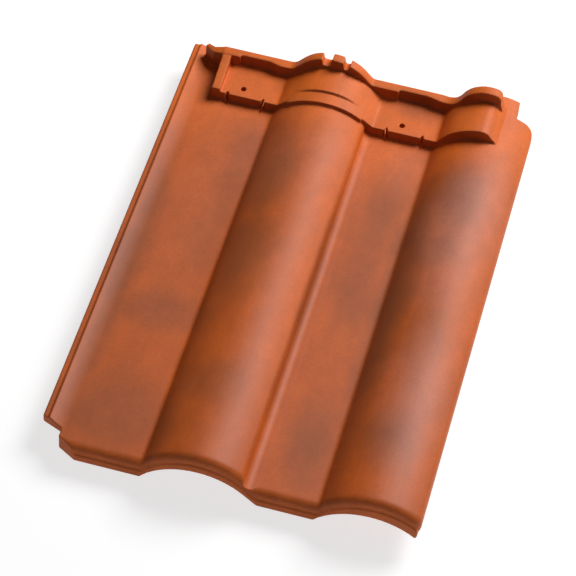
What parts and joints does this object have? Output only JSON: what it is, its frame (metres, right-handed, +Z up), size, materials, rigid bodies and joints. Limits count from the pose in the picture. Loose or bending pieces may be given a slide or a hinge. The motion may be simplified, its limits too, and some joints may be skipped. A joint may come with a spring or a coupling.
{
  "type": "roof pantile",
  "caption": "Interlocking clay roof tile with flat pans between arched rolls, a rounded nose, a side lock, a ribbed head with nail holes and hanging nibs beneath.",
  "frame": {"origin": "middle of the bounding box's bottom face, on the plane of the hanging nibs and foot ribs", "axes": "+X across the tile to the overlapping roll rim, +Y from the nose to the head, +Z up from the weathered face"},
  "size_m": [0.2836, 0.4166, 0.0647],
  "materials": {
    "clay": "satin fired clay with smoky brown flashing"
  },
  "bodies": {
    "root": {"pantile": "clay"}
  },
  "joints": []
}
